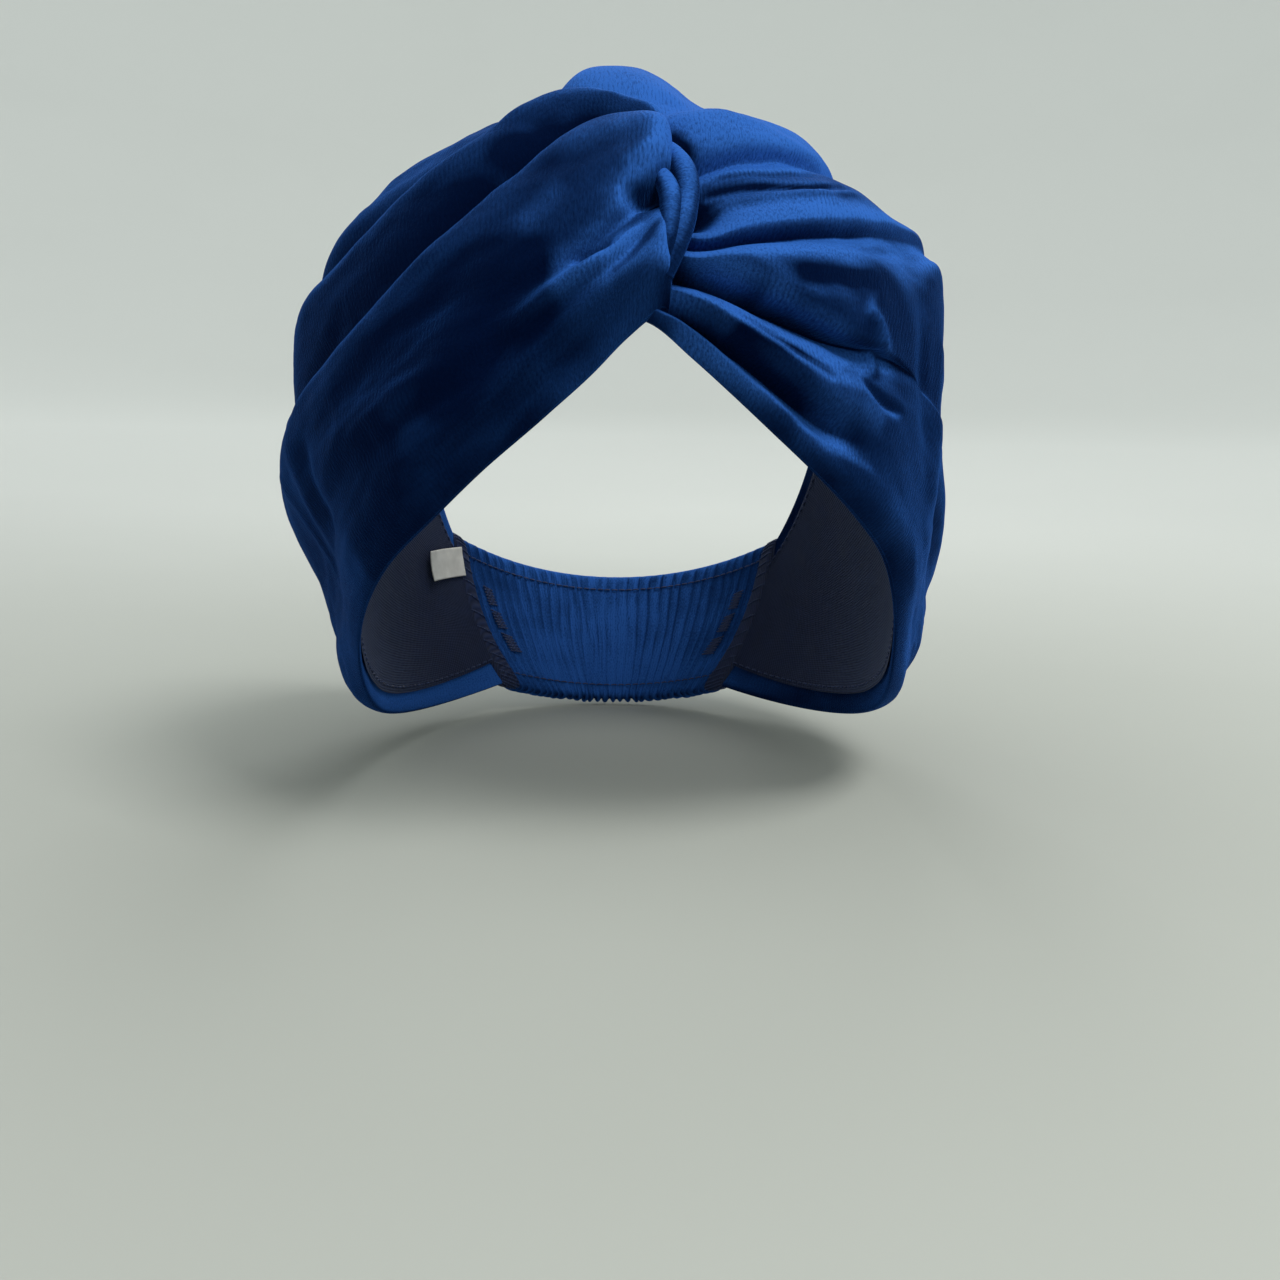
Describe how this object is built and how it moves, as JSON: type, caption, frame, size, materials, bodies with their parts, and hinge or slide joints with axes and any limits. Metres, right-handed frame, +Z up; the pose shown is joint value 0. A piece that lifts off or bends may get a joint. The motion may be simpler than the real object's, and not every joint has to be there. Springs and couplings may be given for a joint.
{
  "type": "knotted headband",
  "caption": "Wide turban-style headband of folded velvet, two loops hooked in a knot at the front, elastic strap at the nape.",
  "frame": {"origin": "middle of the head opening at the head's widest level, just above the ears", "axes": "+Z up, -Y is the front where the knot is, +X is the wearer's left"},
  "size_m": [0.184, 0.2003, 0.1929],
  "materials": {
    "velvet": "dark royal blue stretch velvet, a short brushed pile with a bright blue sheen",
    "lining_jersey": "thin matt navy jersey with fine ribs",
    "thread": "navy polyester sewing thread",
    "binding_tape": "navy overlocked binding tape",
    "elastic": "black woven elastic with lengthwise ribs",
    "label_satin": "blank off-white satin tape"
  },
  "bodies": {
    "band": {"left_loop": "velvet", "right_loop": "velvet", "left_lining": "lining_jersey", "right_lining": "lining_jersey", "knot_tacks": "thread", "left_join_binding": "binding_tape", "right_join_binding": "binding_tape", "care_label": "label_satin"},
    "nape": {"nape_casing": "velvet", "nape_elastic": "elastic", "elastic_tacks": "thread"}
  },
  "joints": [
    {"name": "nape_stretch", "type": "slide", "parent": "band", "child": "nape", "axis": [0, 1, 0], "range_m": [0, 0.02], "stiffness_N_per_m": 60}
  ]
}
